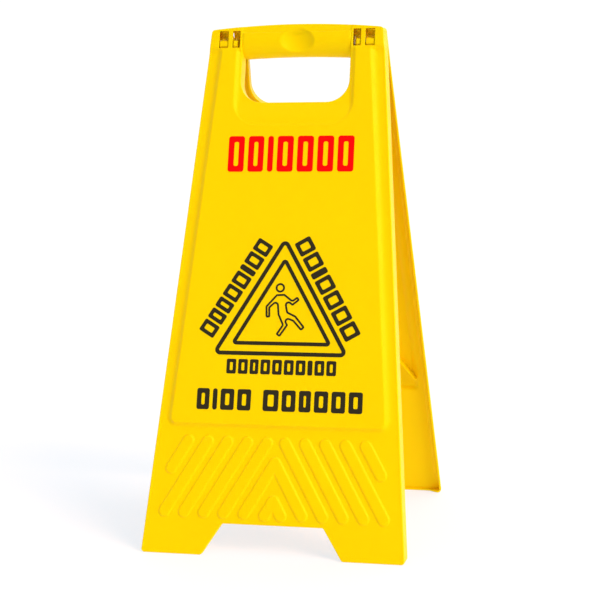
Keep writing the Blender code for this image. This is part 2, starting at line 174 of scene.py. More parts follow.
# Lines of points that the faces follow, as distances in millimetres or as shares of a width
WALL_LINES = (-9.4, -8.2, -7, -5.8, -4.6, -3.4, -2.3, -1.3, -0.5, 0.2, 0.8, 1.4, 2.0, 2.7)
INNER_WALL_LINES = (-9, -7, -5, -3.2, -1.6, -0.4, 0.7, 1.6, 2.6)
EDGE_LINES = (2.3, 3.1, 4.0, 5.1)
OPENING_LINES = (1.9, 2.9)
RIB_LINES = (-1, -0.6, -0.3, 0, 0.3, 0.6, 1)
SCOOP_LINES = (0.86, 0.93, 0.97, 1.0, 1.03, 1.07)
CREASE_LINES = (-0.9, -0.5, -0.1, 0.3, 0.7)
# The whole leaf, the ramp below the opening and the scoop above the crease: left, right, bottom and top
SCATTER_AREAS = ((-0.16, 0.16, 0.002, 0.63), (-0.07, 0.07, 0.499, 0.529), (-0.026, 0.026, 0.613, 0.626))

# The printed marks. The triangles and the labels beside them are fitted more closely to the photograph than
# in CAD, and the figure is an outline in a pose of its own.
INK_HALF = 0.0001
# Rows of boxes for words: both ends of the middle line, height, widths in proportion, gap and line width
HEADING_WIDTHS = (19.5, 19, 6.8, 19.5, 19.5, 19.5, 19.5)
HEADING = ((-0.0745, 0.4665), (0.0755, 0.4665), 0.043, HEADING_WIDTHS, 0.0048, 0.0069)
LEFT_LABEL = ((-0.0890, 0.2524), (-0.0226, 0.3612), 0.0200, (12, 10, 10, 12, 12, 5, 12, 12), 0.0026, 0.0044)
RIGHT_LABEL = ((0.0192, 0.3640), (0.0842, 0.2508), 0.0200, (12, 12, 5, 12, 12, 12, 12), 0.0028, 0.0046)
LOWER_WIDTHS = (10, 10, 9, 10, 10, 10, 10, 5, 10, 10)
LOWER_LABEL = ((-0.062, 0.2155), (0.066, 0.2155), 0.017, LOWER_WIDTHS, 0.0026, 0.0038)
BOTTOM_LABEL = (
    ((-0.095, 0.17715), (-0.0313, 0.17715), 0.0243, (14, 5, 15, 15), 0.0040, 0.0054),
    ((-0.017, 0.17715), (0.098, 0.17715), 0.0243, (17, 15, 13, 15, 15, 15), 0.0040, 0.0054),
)
# The boxes' corner radii and the widest solid bar, in line widths
BOX_CORNER = 0.45
BOX_INNER_CORNER = 0.3
WIDEST_BAR = 2.5
# Middle, apex, base, half width, line width and corner radius
OUTER_TRIANGLE = (-0.0003, 0.3682, 0.2286, 0.0808, 0.0046, 0.006)
INNER_TRIANGLE = (0.0007, 0.3445, 0.2406, 0.0600, 0.0043, 0.004)
HEAD_CENTRE = (-0.0035, 0.3075)
HEAD_RADIUS = 0.0055
FIGURE_LINE = 0.0022
FIGURE_CORNER = 0.0019
# A generic slipping figure, as the corners of its outline in millimetres
FIGURE = (
    (-7.5, 300.0), (-19.8, 286.0), (-19.0, 272.5), (-13.6, 273.0), (-14.3, 284.0),
    (-6.8, 291.0), (-5.0, 276.0), (0.6, 264.5), (-6.4, 253.5), (-1.4, 250.2),
    (7.8, 264.2), (3.4, 272.0), (13.0, 268.6), (23.0, 257.8), (27.6, 262.0),
    (16.5, 275.2), (6.8, 279.8), (4.2, 292.2), (11.8, 286.6), (20.2, 293.4),
    (17.2, 298.0), (11.5, 293.4), (2.0, 300.5),
)

# Colours
YELLOW = (0.96, 0.66, 0.0)
INK_RED = (1.0, 0.0, 0.0)
INK_BLACK = (0.026, 0.022, 0.010)
FLOOR_WHITE = (0.62, 0.42, 0.30)
FLOOR_GLOW = (0.32, 0.55, 0.71)

# The camera
CAMERA_PLACE = (0.3750, -1.7758, 0.4760)
CAMERA_TURNS = (0.2088, 0.1119, -0.0075)
CAMERA_LENS = 90.1

MM = 0.001


# Outlines

def half_width(up):
    """Half the leaf's width at a distance up from its bottom edge."""
    return FOOT_HALF_WIDTH + (TOP_HALF_WIDTH - FOOT_HALF_WIDTH) * up / LEAF_LENGTH


def arc(centre, radius, start, end, steps):
    """Points along an arc, with its angles in degrees."""
    angles = [math.radians(start + (end - start) * i / steps) for i in range(steps + 1)]
    return [(centre[0] + radius * math.cos(a), centre[1] + radius * math.sin(a)) for a in angles]


def rounded(corners, steps=8):
    """An outline from (x, y, radius) corners, with an arc at each corner whose radius isn't zero."""
    outline = []
    for i, (x, y, radius) in enumerate(corners):
        here = Vector((x, y))
        if not radius:
            outline.append((x, y))
            continue
        back = (Vector(corners[i - 1][:2]) - here).normalized()
        ahead = (Vector(corners[(i + 1) % len(corners)][:2]) - here).normalized()
        half_angle = back.angle(ahead) / 2
        centre = here + (back + ahead).normalized() * radius / math.sin(half_angle)
        first = here + back * radius / math.tan(half_angle) - centre
        last = here + ahead * radius / math.tan(half_angle) - centre
        sweep = first.angle_signed(last)
        for step in range(steps + 1):
            turned = Matrix.Rotation(-sweep * step / steps, 2) @ first
            outline.append(tuple(centre + turned))
    return outline


def capsule(start, end, width, steps=8):
    """A straight bar with round ends."""
    start = Vector(start)
    end = Vector(end)
    along = math.degrees(math.atan2(end.y - start.y, end.x - start.x))
    first = arc(start, width / 2, along + 90, along + 270, steps)
    return first + arc(end, width / 2, along - 90, along + 90, steps)


def crown(steps=24):
    """The top edge from right to left, a shallow arch, as corners with its two ends rounded."""
    points = []
    for step in range(steps + 1):
        across = 1 - 2 * step / steps
        radius = TOP_CORNER if step in (0, steps) else 0
        up = LEAF_LENGTH + TOP_CROWN * (1 - across * across)
        points.append((TOP_HALF_WIDTH * across, up, radius))
    return points


def leaf_edge(bottom=0.0, widened=0.0):
    """The leaf's outer edge, with its feet ending at a distance up and its notch widened."""
    run = (NOTCH_FOOT_HALF - NOTCH_TOP_HALF) / NOTCH_HEIGHT
    aside = widened * math.hypot(1, run)
    notch = NOTCH_TOP_HALF + run * (NOTCH_HEIGHT - bottom) + aside
    right = [
        (NOTCH_TOP_HALF + aside - run * widened, NOTCH_HEIGHT + widened, NOTCH_CORNER),
        (notch, bottom, FOOT_CORNER),
        (half_width(bottom), bottom, FOOT_CORNER),
    ]
    left = [(-x, y, radius) for x, y, radius in reversed(right)]
    return rounded(right + crown() + left)


def panel_half(up):
    return PANEL_BOTTOM_HALF - PANEL_TAPER * (up - PANEL_BOTTOM)


def raised_outline():
    """The raised panel and the block across the top, which passes the leaf's edges."""
    wide = 1.3 * FOOT_HALF_WIDTH
    right = [
        (PANEL_BOTTOM_HALF, PANEL_BOTTOM, PANEL_CORNER),
        (panel_half(TOP_BLOCK_UP), TOP_BLOCK_UP, TOP_BLOCK_CORNER),
        (wide, TOP_BLOCK_UP, 0),
        (wide, LEAF_LENGTH + 0.03, 0),
    ]
    left = [(-x, y, radius) for x, y, radius in reversed(right)]
    return rounded(right + left)


def slot_outline(half, bottom, corner, top, top_corner=0.0):
    """A slot with rounded bottom corners."""
    low = [(-half, bottom, corner), (half, bottom, corner)]
    high = [(half, top, top_corner), (-half, top, top_corner)]
    return rounded(low + high, 12)


def rectangle(left, right, bottom, top, radius=0.0, steps=4):
    corners = [(left, bottom), (right, bottom), (right, top), (left, top)]
    return rounded([(x, y, radius) for x, y in corners], steps)


def units(rows):
    return rows / np.linalg.norm(rows, axis=1, keepdims=True)


def outward(outline):
    """Mitred normals that point out of an anticlockwise outline."""
    points = np.asarray(outline)
    ahead = units(np.roll(points, -1, axis=0) - points)
    right = np.column_stack((ahead[:, 1], -ahead[:, 0]))
    before = np.roll(right, 1, axis=0)
    return (right + before) / (1 + np.sum(right * before, axis=1, keepdims=True))


def grown(outline, distance):
    return np.asarray(outline) + outward(outline) * distance


def divided(outline, spacing):
    """Where to put points along an outline so that none is farther from the next than spacing(x, s) there."""
    points = np.asarray(outline)
    marks = []
    for i, here in enumerate(points):
        there = points[(i + 1) % len(points)]
        middle = (here + there) / 2
        count = max(1, math.ceil(np.linalg.norm(there - here) / spacing(*middle)))
        marks += [(i, step / count) for step in range(count)]
    return marks


def placed(outline, marks):
    """The points of an outline at those marks."""
    points = np.asarray(outline)
    index = np.array([i for i, _ in marks])
    share = np.array([part for _, part in marks])[:, None]
    return points[index] * (1 - share) + points[(index + 1) % len(points)] * share


def inside_by(points, outline):
    """How far each point lies inside a closed outline, negative outside it."""
    x, y = points[:, 0], points[:, 1]
    nearest = np.full(len(points), np.inf)
    inside = np.zeros(len(points), bool)
    for (ax, ay), (bx, by) in zip(np.asarray(outline), np.roll(np.asarray(outline), -1, axis=0)):
        dx, dy = bx - ax, by - ay
        along = np.clip(((x - ax) * dx + (y - ay) * dy) / (dx * dx + dy * dy), 0, 1)
        nearest = np.minimum(nearest, np.hypot(x - ax - along * dx, y - ay - along * dy))
        if ay != by:
            inside ^= ((ay > y) != (by > y)) & (x < ax + (y - ay) * dx / dy)
    return np.where(inside, nearest, -nearest)


def away_from(points, line):
    """How far each point lies from an open line."""
    nearest = np.full(len(points), np.inf)
    for start, end in zip(line, line[1:]):
        run = np.subtract(end, start)
        along = np.clip((points - start) @ run / (run @ run), 0, 1)
        nearest = np.minimum(nearest, np.linalg.norm(points - start - along[:, None] * run, axis=1))
    return nearest


# Heights of the two faces of a leaf

def smooth(value):
    """0 below 0 and 1 above 1, with an even curve between them."""
    value = np.clip(value, 0, 1)
    return value * value * (3 - 2 * value)


def risen(value, start, run):
    """0 up to a start, and 1 from a run past it."""
    return smooth((value - start) / run)


def blended_min(a, b, blend):
    near = np.maximum(blend - np.abs(a - b), 0) / blend
    return np.minimum(a, b) - near * near * blend / 4


def cove(distance, reach, rise):
    """A hollow wall that leaves the sheet at -reach, steepens to a rise at 0 and then runs on straight."""
    run = np.clip(distance + reach, 0, reach + COVE_END) / reach
    steepest = COVE_POWER * rise / reach * (1 + COVE_END / reach) ** (COVE_POWER - 1)
    return rise * run**COVE_POWER + np.maximum(distance - COVE_END, 0) * steepest


def scoop_height(across, up):
    """The thumb scoop's surface, a dip of a large ellipsoid."""
    a, b, c = SCOOP_HALF_AXES
    left = 1 - ((across - SCOOP_ACROSS) / a) ** 2 - ((up - SCOOP_MIDDLE) / b) ** 2
    return PANEL_RISE - SCOOP_DEPTH + c - c * np.sqrt(np.clip(left, 0, 1))


def rib_lines():
    """The centre lines of the slanting ribs, both sides, and of the pointed ones in the middle."""
    lines = []
    for i in range(RIB_COUNT):
        bottom = LAST_RIB_BOTTOM if i == RIB_COUNT - 1 else RIB_BOTTOM
        top_across = RIB_FIRST + RIB_PITCH * i
        bottom_across = top_across + (RIB_TOP - bottom) * RIB_RUN
        for side in (1, -1):
            lines.append([(side * top_across, RIB_TOP), (side * bottom_across, bottom)])
    for apex, bottom in RIB_APEXES:
        reach = (apex - bottom) * RIB_RUN
        lines.append([(-reach, bottom), (0, apex), (reach, bottom)])
    return lines


RAISED = raised_outline()
BORDER = slot_outline(BORDER_HALF, BORDER_BOTTOM, BORDER_CORNER, BORDER_TOP, BORDER_TOP_CORNER)
OPENING_TOP = CREASE_UP - OPENING_INSET - OPENING_TOP_GAP
OPENING = slot_outline(OPENING_HALF, OPENING_BOTTOM, OPENING_CORNER, OPENING_TOP)
RIBS = rib_lines()
FEET_LINE = [
    (-FOOT_HALF_WIDTH, 0),
    (-NOTCH_FOOT_HALF, 0),
    (-NOTCH_TOP_HALF, NOTCH_HEIGHT),
    (NOTCH_TOP_HALF, NOTCH_HEIGHT),
    (NOTCH_FOOT_HALF, 0),
    (FOOT_HALF_WIDTH, 0),
]


def pressed(points, thickness, border_thickness):
    """Height of the panel, block and border, seen from inside the wall by a thickness."""
    up = points[:, 1]
    full = risen(up, PANEL_BOTTOM, LOW_WALL_RUN)
    reach = LOW_WALL_REACH + (WALL_REACH - LOW_WALL_REACH) * full
    rise = LOW_WALL_RISE + (WALL_RISE - LOW_WALL_RISE) * full
    panel = cove(inside_by(points, RAISED) - thickness, reach, rise)
    panel = blended_min(panel, PANEL_RISE, WALL_BLEND)
    ramp = PANEL_RISE * (1 - risen(up, *RAMP))
    sunk = cove(-inside_by(points, BORDER) - border_thickness, WALL_REACH, WALL_RISE)
    sunk = -blended_min(-sunk, -ramp, RAMP_BLEND)
    return blended_min(panel, blended_min(sunk, PANEL_RISE, WALL_BLEND), PANEL_BLEND)


def face_height(points):
    """The outer face."""
    across, up = points[:, 0], points[:, 1]
    height = pressed(points, 0, 0)
    low = 1 - height / PANEL_RISE
    side = (half_width(up) - np.abs(across)) / LIP_WIDTH
    lip = LIP_RISE * np.clip(1 - side, 0, 1) ** 2
    feet = away_from(points, FEET_LINE) / NOTCH_LIP_WIDTH
    lip = np.maximum(lip, NOTCH_LIP_RISE * np.clip(1 - feet, 0, 1) ** 2)
    opening = -inside_by(points, OPENING) / OPENING_LIP_WIDTH
    lip += OPENING_LIP_RISE * np.clip(1 - opening, 0, 1) ** 2 * (1 - risen(up, *OPENING_LIP_END))
    height += lip * low
    ribs = np.zeros(len(points))
    for line in RIBS:
        past = (RIB_WIDTH + RIB_SLOPE) / 2 - away_from(points, line)
        ribs = np.maximum(ribs, smooth(past / RIB_SLOPE))
    height += ribs * RIB_RISE
    band = risen(up, CREASE_UP - CREASE_BELOW, CREASE_RUN)
    height -= CROWN_DROP * band * (1 - risen(np.abs(across), *CROWN_DROP_END))
    return blended_min(height, scoop_height(across, up), SCOOP_BLEND)


def inner_height(points):
    """The inner face, one wall behind the outer face."""
    height = pressed(points, PANEL_WALL, SHEET) - SHEET
    return blended_min(height, scoop_height(points[:, 0], points[:, 1]) - SHEET, INNER_BLEND)


def slope_of(height, points, step=0.0001):
    """The height's slope across and up."""
    slopes = []
    for move in ((step, 0), (0, step)):
        slopes.append((height(points + move) - height(points - move)) / (2 * step))
    return np.column_stack(slopes)


# Meshes

def triangulated(loops, lines, scatter, margin):
    """Triangles that fill the first loop but not the others, and follow the lines inside it.

    It returns the plan points, the triangles, and for each loop the place of its points among them.
    """
    points, edges, spans = [], [], []
    for loop in loops:
        first = len(points)
        points += [tuple(point) for point in loop]
        edges += [(first + i, first + (i + 1) % len(loop)) for i in range(len(loop))]
        spans.append((first, len(points)))

    def allowed(candidates):
        keep = inside_by(candidates, loops[0]) > margin
        for loop in loops[1:]:
            keep &= inside_by(candidates, loop) < -margin
        return keep

    drawn = np.vstack([np.asarray(line) for line in lines])
    ahead = np.vstack([np.roll(np.asarray(line), -1, axis=0) for line in lines])
    keep = allowed(drawn)
    middle = allowed((drawn + ahead) / 2)
    first = len(points)
    points += [tuple(point) for point in drawn]
    start = 0
    for line in lines:
        count = len(line)
        for i in range(count):
            here, there = start + i, start + (i + 1) % count
            if keep[here] and keep[there] and middle[here]:
                edges.append((first + here, first + there))
        start += count
    scatter = np.asarray(scatter)
    scatter = scatter[allowed(scatter)]
    loose = len(points)
    points += [tuple(point) for point in scatter]
    used = {i for edge in edges for i in edge}
    kept = [i for i in range(len(points)) if i in used or i >= loose]
    new_place = {old: new for new, old in enumerate(kept)}
    plan = [Vector(points[i]) / MM for i in kept]
    ties = [(new_place[a], new_place[b]) for a, b in edges]
    out, _, faces, origins, _, _ = delaunay_2d_cdt(plan, ties, [], 0, 1e-4, True)
    place = {}
    for i, several in enumerate(origins):
        for one in several:
            place[one] = i
    flat = np.array([(v.x, v.y) for v in out]) * MM
    faces = np.array(faces)
    centres = flat[faces].mean(axis=1)
    keep = inside_by(centres, loops[0]) > 1e-6
    for loop in loops[1:]:
        keep &= inside_by(centres, loop) < -1e-6
    rings = [[place[new_place[i]] for i in range(*span)] for span in spans]
    return flat, faces[keep], rings


class Shell:
    """A mesh put together from faces and strips, in the flat frame."""

    def __init__(self):
        self.points = []
        self.normals = {}
        self.faces = []

    def add(self, points, normals=None):
        first = len(self.points)
        self.points += [tuple(point) for point in points]
        if normals is not None:
            self.normals.update({first + i: tuple(normal) for i, normal in enumerate(normals)})
        return list(range(first, len(self.points)))

    def face(self, loops, lines, scatter, height, margin, side):
        """A face over a plan, at height(points). side is 1 if it looks out and -1 if it looks in."""
        flat, faces, rings = triangulated(loops, lines, scatter, margin)
        slope = slope_of(height, flat)
        normals = units(np.column_stack((-slope, np.ones(len(flat)))) * side)
        names = self.add(np.column_stack((flat, height(flat))), normals)
        self.faces += [[names[i] for i in face] for face in faces]
        return [[names[i] for i in ring] for ring in rings]

    def strip(self, first, last):
        """Quads between two rings of as many points."""
        for i in range(len(first)):
            j = (i + 1) % len(first)
            self.faces.append([first[i], first[j], last[j], last[i]])

    def sweep(self, first, rings, last):
        """Strips from the first ring through new ones to the last ring."""
        for ring in rings:
            names = self.add(ring)
            self.strip(first, names)
            first = names
        self.strip(first, last)

    def tube(self, rings):
        """Strips from each ring to the next, with both ends closed."""
        for first, last in zip(rings, rings[1:]):
            self.strip(first, last)
        self.faces.append(list(reversed(rings[0])))
        self.faces.append(rings[-1])

    def closed_mesh(self, name):
        """The mesh, checked to be closed, with its faces turned outward."""
        mesh = bpy.data.meshes.new(name)
        mesh.from_pydata(self.points, [], self.faces)
        solid = bmesh.new()
        solid.from_mesh(mesh)
        loose = [v for v in solid.verts if not v.link_faces]
        assert not loose, f"{name} has {len(loose)} loose points"
        open_edges = [e for e in solid.edges if len(e.link_faces) != 2]
        assert not open_edges, f"{name} has {len(open_edges)} open edges"
        bmesh.ops.recalc_face_normals(solid, faces=solid.faces)
        solid.to_mesh(mesh)
        solid.free()
        mesh.shade_smooth()
        return mesh

    def made(self, name, matrix):
        """A piece shaded with the normals that its faces were given."""
        mesh = self.closed_mesh(name)
        normals = [tuple(v.vector) for v in mesh.vertex_normals]
        for i, normal in self.normals.items():
            normals[i] = normal
        mesh.normals_split_custom_set_from_vertices(normals)
        mesh.transform(matrix)
        mesh.update()
        return linked(name, mesh)

    def crisp(self, name, matrix):
        """A piece shaded smooth by its own faces, except at its corners."""
        mesh = self.closed_mesh(name)
        mesh.transform(matrix)
        mesh.update()
        mesh.set_sharp_from_angle(angle=math.radians(35))
        return linked(name, mesh)


def linked(name, data):
    """A new object in the scene."""
    thing = bpy.data.objects.new(name, data)
    bpy.context.scene.collection.objects.link(thing)
    return thing


def hexagonal(left, right, bottom, top, spacing):
    """Evenly scattered points in a rectangle."""
    rows = int((top - bottom) / (spacing * 0.866)) + 1
    columns = int((right - left) / spacing) + 1
    return [
        (left + (column + 0.5 * (row % 2)) * spacing, bottom + row * spacing * 0.866)
        for row in range(rows)
        for column in range(columns)
    ]


def scattered(*spacings):
    """Loose points, at one spacing for each area."""
    return [point for area, spacing in zip(SCATTER_AREAS, spacings) for point in hexagonal(*area, spacing)]


def edge_spacing(across, up):
    """How close the points along the leaf's edge lie: closest at the block's lower edge and at the scoop."""
    if 0.584 < up < 0.604:
        return 0.0007
    if abs(across) < 0.028 and up > 0.6:
        return 0.0012
    return 0.004


def opening_spacing(_, up):
    """How close the points round the opening lie: closer where the grip meets it."""
    if up > 0.585:
        return 0.0012
    return 0.003


class Rim:
    """An edge of the leaf: the places around it, and how its wall leans with depth."""

    def __init__(self, marks, level, deep, into_hole, thickness):
        side = -1 if into_hole else 1
        self.level = placed(level, marks)
        self.out = outward(self.level) * side
        self.along = units(np.column_stack((self.out[:, 1], -self.out[:, 0])))
        moved = (placed(deep, marks) - self.level) / EDGE_DEPTH
        self.lean = np.sum(moved * units(self.out), axis=1)
        self.slide = np.sum(moved * self.along, axis=1)
        self.thickness = thickness(self.level)

    def at(self, out, height):
        """Points at a distance out from the wall's foot at height 0, and a height."""
        out = np.broadcast_to(out, len(self.level))
        height = np.broadcast_to(height, len(self.level))
        flat = self.level + self.out * out[:, None]
        flat += self.along * (self.slide * np.maximum(-height, 0))[:, None]
        return np.column_stack((flat, height))

    def start(self, inset):
        """The ring where the face ends."""
        return self.at(-inset, 0)[:, :2]

    def rolled(self, inset, height, slope, steps=6):
        """Rings that round the face over into the wall, and the place where they end."""
        turn = np.arctan(slope)
        wall = np.arctan(self.lean) - math.pi / 2
        radius = np.full(len(self.level), inset)
        for _ in range(6):
            end = height - radius * np.cos(turn) + radius * np.cos(wall)
            radius = (inset - end * self.lean) / (np.sin(turn) - np.sin(wall))
        middle_out = -inset + radius * np.sin(turn)
        middle_up = height - radius * np.cos(turn)
        rings = []
        for step in range(1, steps + 1):
            angle = turn + (wall - turn) * step / steps
            rings.append(self.at(middle_out - radius * np.sin(angle), middle_up + radius * np.cos(angle)))
        return rings, middle_up + radius * np.cos(wall)

    def rest(self, wall_top, depth, inner, fillet, steps=7):
        """Rings down the wall, round the rim and up the inner wall, and where the inner face starts."""
        rings = []
        low = depth + RIM_ROUND
        for share in (0.12, 0.5, 0.88):
            height = wall_top + (low - wall_top) * share
            rings.append(self.at(-height * self.lean, height))
        foot = -low * self.lean
        for angle in np.radians((0, -30, -60, -90)):
            rings.append(self.at(foot + RIM_ROUND * (math.cos(angle) - 1), low + RIM_ROUND * math.sin(angle)))
        foot = foot - self.thickness
        for angle in np.radians((-90, -120, -150, -180)):
            rings.append(self.at(foot + RIM_ROUND * (math.cos(angle) + 1), low + RIM_ROUND * math.sin(angle)))
        top = np.zeros(len(self.level))
        for _ in range(4):
            centre_up = top - fillet
            centre_out = -centre_up * self.lean - self.thickness - fillet
            top = inner(self.at(centre_out, 0)[:, :2])
        centre_up = top - fillet
        centre_out = -centre_up * self.lean - self.thickness - fillet
        for share in (0.1, 0.9):
            height = low + (centre_up - low) * share
            rings.append(self.at(-height * self.lean - self.thickness, height))
        for step in range(steps):
            angle = math.pi / 2 * step / steps
            rings.append(self.at(centre_out + fillet * math.cos(angle), centre_up + fillet * math.sin(angle)))
        return rings, self.at(centre_out, top)[:, :2]


def middle_depth(points, lean):
    """How deep an edge may reach before the middle plane between the two leaves."""
    return np.maximum(-EDGE_DEPTH, -PIVOT_BACK + math.tan(lean) * (points[:, 1] - PIVOT_UP) + MIDDLE_GAP)


def thinned(start, wall):
    """A wall as thick as the sheet, and thinner above a start. It gives the thickness at some points."""
    return lambda points: np.where(points[:, 1] > start, wall, SHEET)


def edge_rim(lean):
    """The rim round the leaf, which flares out. The feet's undersides end level when the leaf leans."""
    level = leaf_edge()
    deep = grown(leaf_edge(EDGE_DEPTH * math.tan(lean) + EDGE_FLARE, EDGE_FLARE), EDGE_FLARE)
    return Rim(divided(level, edge_spacing), level, deep, False, thinned(*THIN_EDGE))


def opening_rim():
    deep = grown(OPENING, -EDGE_DEPTH * math.tan(OPENING_DRAFT))
    return Rim(divided(OPENING, opening_spacing), OPENING, deep, True, thinned(*THIN_OPENING))


def window_rims():
    """The rims of the hinge windows, which have no wall of their own behind the sheet."""
    rims = []
    for near, far in WINDOWS:
        for left, right in ((near, far), (-far, -near)):
            outline = rectangle(left, right, WINDOW_BOTTOM, WINDOW_TOP, WINDOW_CORNER, 3)
            marks = divided(outline, lambda across, up: 0.003)
            rims.append(Rim(marks, outline, outline, True, lambda points: 0.0 * points[:, 1]))
    return rims


def edge_wall(edge, lean):
    """How deep the edge's wall reaches, and the radius of the fillet inside it."""
    up = edge.level[:, 1]
    aside = half_width(up) - np.abs(edge.level[:, 0])
    shallow = risen(aside, *FOOT_WALL_ASIDE) * (1 - risen(up, *FOOT_WALL_UP))
    depth = middle_depth(edge.level + edge.out * EDGE_FLARE, lean)
    depth = np.maximum(depth, -EDGE_DEPTH + (EDGE_DEPTH - FOOT_WALL) * shallow)
    grow = risen(up, *LOW_FILLET) * (1 - risen(up, *HIGH_FILLET))
    return depth, SMALL_FILLET + (FILLET - SMALL_FILLET) * grow


def opening_wall(opening, lean):
    """The same for the opening's wall, which stops short behind the grip."""
    up = opening.level[:, 1]
    depth = np.where(up > up.max() - 0.0002, -OPENING_TOP_DEPTH, middle_depth(opening.level, lean))
    return depth, FILLET - (FILLET - SMALL_FILLET) * risen(up, *OPENING_FILLET)


def outer_lines():
    """Lines of points along the outer face's walls, lips, ribs, scoop and crease."""
    lines = []
    for distance in WALL_LINES:
        lines.append(grown_line(RAISED, -distance * MM))
        lines.append(grown_line(BORDER, distance * MM))
    lines += [grown_line(leaf_edge(), -inset * MM) for inset in EDGE_LINES]
    lines += [grown_line(OPENING, inset * MM) for inset in OPENING_LINES]
    for rib in RIBS:
        for share in RIB_LINES:
            for start, end in zip(rib, rib[1:]):
                bar = capsule(start, end, RIB_WIDTH + RIB_SLOPE * share)
                lines.append(placed(bar, divided(bar, lambda across, up: 0.005)))
    dip = math.sqrt(1 - ((SCOOP_HALF_AXES[2] - SCOOP_DEPTH) / SCOOP_HALF_AXES[2]) ** 2)
    turns = np.radians(np.arange(0, 360, 3))
    for share in SCOOP_LINES:
        across = SCOOP_ACROSS + SCOOP_HALF_AXES[0] * dip * share * np.cos(turns)
        up = SCOOP_MIDDLE + SCOOP_HALF_AXES[1] * dip * share * np.sin(turns)
        lines.append(np.column_stack((across, up)))
    for up in CREASE_LINES:
        lines.append([(x * MM, CREASE_UP + up * MM) for x in range(-72, 73, 2)])
    return lines


def inner_lines():
    """Lines of points along the inner face's walls."""
    lines = []
    for distance in INNER_WALL_LINES:
        lines.append(grown_line(RAISED, -distance * MM - PANEL_WALL))
        lines.append(grown_line(BORDER, distance * MM + SHEET))
    return lines


def moulding(name, matrix, lean):
    """A leaf's sheet: its outer and inner faces, joined by the rims of its edge, opening and windows."""
    shell = Shell()
    edge, opening, windows = edge_rim(lean), opening_rim(), window_rims()
    starts = [edge.start(FACE_INSET), opening.start(OPENING_INSET)]
    starts += [window.start(WINDOW_INSET) for window in windows]
    scatter = scattered(0.012, 0.003, 0.0011)
    outer = shell.face(starts, outer_lines(), scatter, face_height, 0.00035, 1)

    swept = []
    for rim, inset, (depth, fillet) in (
        (edge, FACE_INSET, edge_wall(edge, lean)),
        (opening, OPENING_INSET, opening_wall(opening, lean)),
    ):
        start = rim.start(inset)
        slope = np.sum(slope_of(face_height, start) * units(rim.out), axis=1)
        rings, wall_top = rim.rolled(inset, face_height(start), slope)
        more, last = rim.rest(wall_top, depth, inner_height, fillet)
        swept.append((rings + more, last))
    for window in windows:
        start = window.start(WINDOW_INSET)
        rings, _ = window.rolled(WINDOW_INSET, face_height(start), 0 * start[:, 0], 3)
        swept.append((rings, window.start(0)))

    ends = [last for _, last in swept]
    scatter = scattered(0.015, 0.004, 0.0016)
    inner = shell.face(ends, inner_lines(), scatter, inner_height, 0.00025, -1)
    for first, (rings, _), last in zip(outer, swept, inner):
        shell.sweep(first, rings, last)
    return shell.made(name, matrix)


def grown_line(outline, distance):
    """An outline grown by a distance, with points close enough together to be cut where the leaf ends."""
    line = grown(outline, distance)
    return placed(line, divided(line, lambda across, up: 0.003))


def leaf_matrix(joint, turn):
    """Stands a flat leaf up at its lean on the hinge axis."""
    lean = math.radians(joint["range_deg"][1]) / 2
    up = Matrix.Translation(joint["pos_m"]) @ Matrix.Rotation(turn, 4, "Z")
    return up @ Matrix.Rotation(math.pi / 2 - lean, 4, "X") @ Matrix.Translation((0, -PIVOT_UP, PIVOT_BACK))


def grip_bow(drop, thickness, shares):
    """The grip's face, or its back a thickness behind: a quarter of an ellipse, from its flat top down."""
    low = -EDGE_DEPTH + GRIP_RIM
    points = []
    for share in shares:
        angle = math.pi / 2 * share
        up = GRIP_FLAT_UP - (drop - thickness) * math.sin(angle)
        points.append((up, low + (PANEL_RISE - low - thickness) * math.cos(angle)))
    return points


def grip_section(across):
    """The grip's face, lower rim and back at one place across it."""
    bottom = GRIP_BOTTOM + GRIP_ARCH * (1 - (across / OPENING_HALF) ** 2)
    drop = GRIP_FLAT_UP - bottom
    flat = [CREASE_UP + (GRIP_FLAT_UP - CREASE_UP) * share for share in (0.25, 0.5, 0.75, 1)]
    front = [(GRIP_TOP, 0.0030), (GRIP_TOP, 0.0033)]
    front += arc((GRIP_TOP - GRIP_TOP_ROUND, PANEL_RISE - GRIP_TOP_ROUND), GRIP_TOP_ROUND, 0, 90, 4)
    front += [(up, PANEL_RISE) for up in flat]
    front = np.array(front + grip_bow(drop, 0, [step / 26 for step in range(1, 27)]))
    front[:, 1] = blended_min(front[:, 1], scoop_height(across, front[:, 0]), SCOOP_BLEND)
    shoulder = GRIP_SHOULDER * risen(abs(across), GRIP_HALF - GRIP_SHOULDER_RUN, GRIP_SHOULDER_RUN)
    front[:, 1] -= shoulder * np.clip((front[:, 1] + 0.008) / 0.012, 0, 1)
    rim = [(bottom + GRIP_RIM_ROUND, -EDGE_DEPTH + GRIP_RIM_ROUND), (bottom + GRIP_RIM, -EDGE_DEPTH)]
    rim += [(2 * bottom + SHEET - up, out) for up, out in reversed(rim)]
    back = grip_bow(drop, SHEET, [1 - step / 13 for step in range(14)])
    back = np.array(back + [(GRIP_TOP, PANEL_RISE - SHEET)])
    back[:, 1] = np.minimum(back[:, 1], scoop_height(across, back[:, 0]) - SHEET)
    section = np.vstack((front, rim, back))
    return np.column_stack((np.full(len(section), across), section))


def grip(name, matrix):
    """The rounded bar over the opening, hollow behind, with the thumb scoop pressed into it."""
    right = [GRIP_HALF - inset for inset in GRIP_END_STEPS]
    columns = [-across for across in right] + list(np.linspace(-0.062, 0.062, 95)) + right[::-1]
    shell = Shell()
    shell.tube([shell.add(grip_section(across)) for across in columns])
    return shell.made(name, matrix)


def hull(points):
    """The convex outline around some points, anticlockwise."""
    points = sorted(set(points))
    sides = []
    for ordered in (points, points[::-1]):
        chain = []
        for point in ordered:
            while len(chain) > 1:
                run = Vector(chain[-1]) - Vector(chain[-2])
                turn = Vector(point) - Vector(chain[-2])
                if run.x * turn.y - run.y * turn.x > 0:
                    break
                chain.pop()
            chain.append(point)
        sides += chain[:-1]
    return sides


